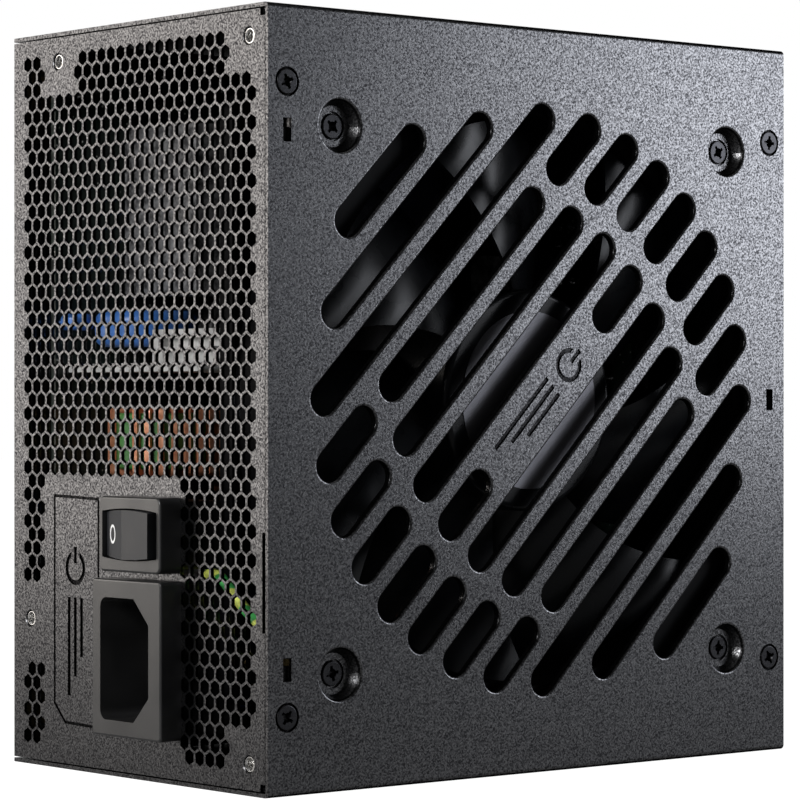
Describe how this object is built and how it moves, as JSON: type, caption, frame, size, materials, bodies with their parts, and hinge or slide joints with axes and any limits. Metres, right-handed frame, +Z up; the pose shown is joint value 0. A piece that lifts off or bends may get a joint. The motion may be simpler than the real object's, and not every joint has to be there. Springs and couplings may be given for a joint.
{
  "type": "computer power supply unit",
  "caption": "Boxed desktop computer power supply with a slotted fan grille, vented rear panel, mains inlet, rocker switch and modular output sockets.",
  "frame": {"origin": "middle of the case's footprint on the face that it stands on", "axes": "+Z up along the 150 mm side, -X out of the rear panel with the mains inlet, -Y out of the fan grille"},
  "size_m": [0.1466, 0.086, 0.15],
  "materials": {
    "case_steel": "matte",
    "black_plastic": "satin",
    "fan_plastic": "satin",
    "screw_steel": "satin",
    "plated_metal": "satin",
    "label_foil": "satin",
    "aluminium": "satin",
    "brass": "satin",
    "copper": "gloss",
    "ferrite": "matte",
    "green_core": "satin",
    "board": "satin",
    "blue_coating": "satin",
    "white_plastic": "satin",
    "yellow_tape": "satin",
    "film": "matte",
    "sleeve": "satin",
    "rubber_wire": "satin",
    "magnet": "matte"
  },
  "bodies": {
    "case": {"cover": "case_steel", "chassis": "case_steel", "rear_panel": "case_steel", "cover_screws": "screw_steel", "fan_screws": "screw_steel", "inlet_housing": "black_plastic", "inlet_pins": "plated_metal", "switch_housing": "black_plastic", "switch_terminals": "plated_metal", "fan_frame": "fan_plastic", "fan_bearing": "brass", "fan_stator": "ferrite", "stator_coils": "copper", "fan_circuit_board": "board", "main_board": "board", "board_posts": "brass", "board_screws": "plated_metal", "insulation_sheet": "film", "line_choke_core": "green_core", "line_choke_winding": "copper", "pfc_choke_core": "ferrite", "pfc_choke_winding": "copper", "varistor": "blue_coating", "suppression_capacitors": "blue_coating", "film_capacitor": "white_plastic", "fuse": "white_plastic", "barrier": "white_plastic", "fan_connector": "white_plastic", "bridge_heatsink": "aluminium", "bridge_rectifier": "black_plastic", "relay": "black_plastic", "primary_heatsink": "aluminium", "transistors": "black_plastic", "transformer_core": "ferrite", "transformer_winding": "yellow_tape", "resonant_choke": "ferrite", "standby_transformer": "yellow_tape", "secondary_heatsink": "aluminium", "bulk_capacitor": "sleeve", "output_capacitors": "sleeve", "converter_board": "board", "control_board": "board", "bus_bars": "copper", "output_board": "board", "motherboard_sockets": "black_plastic", "power_sockets": "black_plastic", "drive_sockets": "black_plastic", "output_contacts": "plated_metal", "earth_stud": "brass", "earth_nut": "plated_metal", "earth_ring": "plated_metal", "earth_wire": "rubber_wire", "live_wire": "rubber_wire", "neutral_wire": "rubber_wire", "fan_lead": "rubber_wire"},
    "fan": {"fan_rotor": "fan_plastic", "fan_label": "label_foil", "rotor_magnet": "magnet", "fan_shaft": "plated_metal"},
    "rocker": {"switch_rocker": "black_plastic"}
  },
  "joints": [
    {"name": "fan_spin", "type": "hinge", "parent": "case", "child": "fan", "pos_m": [0, -0.028, 0.075], "axis": [0, -1, 0], "continuous": true},
    {"name": "power_rocker", "type": "hinge", "parent": "case", "child": "rocker", "pos_m": [-0.072, -0.005, 0.0486], "axis": [0, 0, 1], "range_deg": [0, 16]}
  ]
}
